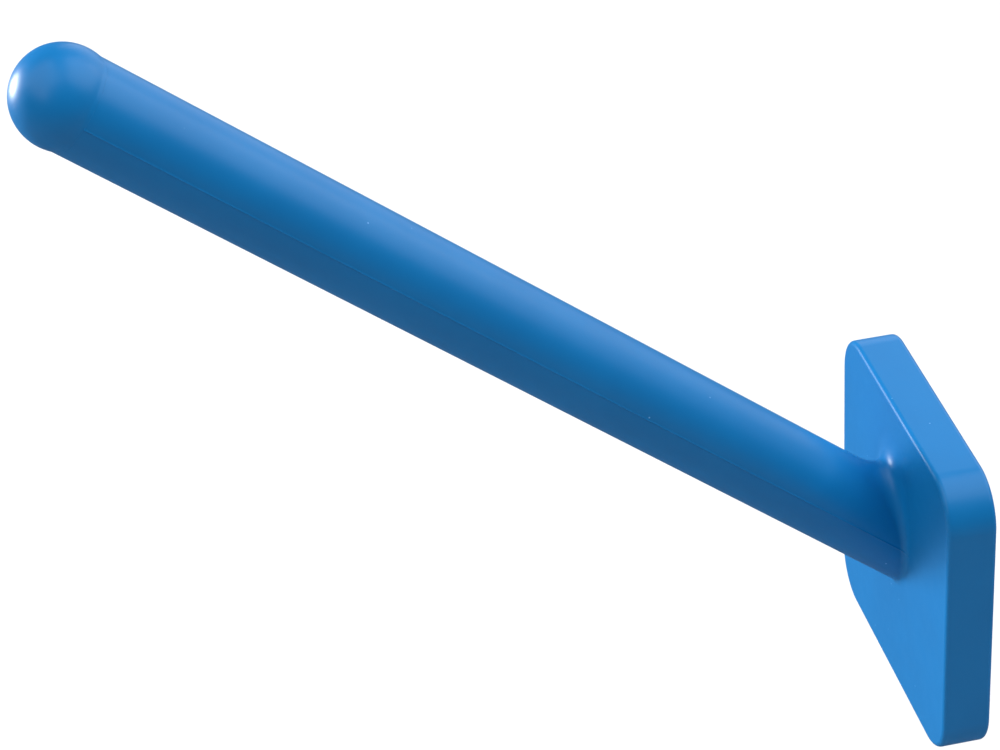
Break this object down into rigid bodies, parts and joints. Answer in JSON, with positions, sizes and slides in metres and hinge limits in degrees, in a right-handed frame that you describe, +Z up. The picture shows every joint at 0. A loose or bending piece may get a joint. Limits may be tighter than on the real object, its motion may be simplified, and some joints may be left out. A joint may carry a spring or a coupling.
{
  "type": "sock aid",
  "caption": "Round ball-nosed shaft rising at an angle from a thick square base plate with rounded corners, for easing socks and stockings on or off.",
  "frame": {"origin": "centre of the flat rest face behind the base plate, on the grip pad", "axes": "+X out of the rest face, away from the shaft; +Z up, towards the side the shaft rises to; +Y completes the frame and is normal to the symmetry plane"},
  "size_m": [0.2292, 0.088, 0.2283],
  "materials": {
    "blue_moulding": "satin-gloss moulded plastic in saturated mid blue",
    "blue_back": "fine-textured moulded plastic in the same blue",
    "aluminium": "mill-finish aluminium alloy, TIG-welded",
    "plated_steel": "zinc-plated steel",
    "grip_rubber": "matt black rubber"
  },
  "bodies": {
    "root": {"ball_end": "blue_moulding", "ball_pin": "plated_steel", "shaft_upper_shell": "blue_moulding", "shaft_lower_shell": "blue_moulding", "core_tube": "aluminium", "plate_cover": "blue_moulding", "plate_insert": "aluminium", "weld_bead": "aluminium", "back_cover": "blue_back", "cover_screw_1": "plated_steel", "cover_screw_2": "plated_steel", "cover_screw_3": "plated_steel", "cover_screw_4": "plated_steel", "grip_pad": "grip_rubber"}
  },
  "joints": []
}
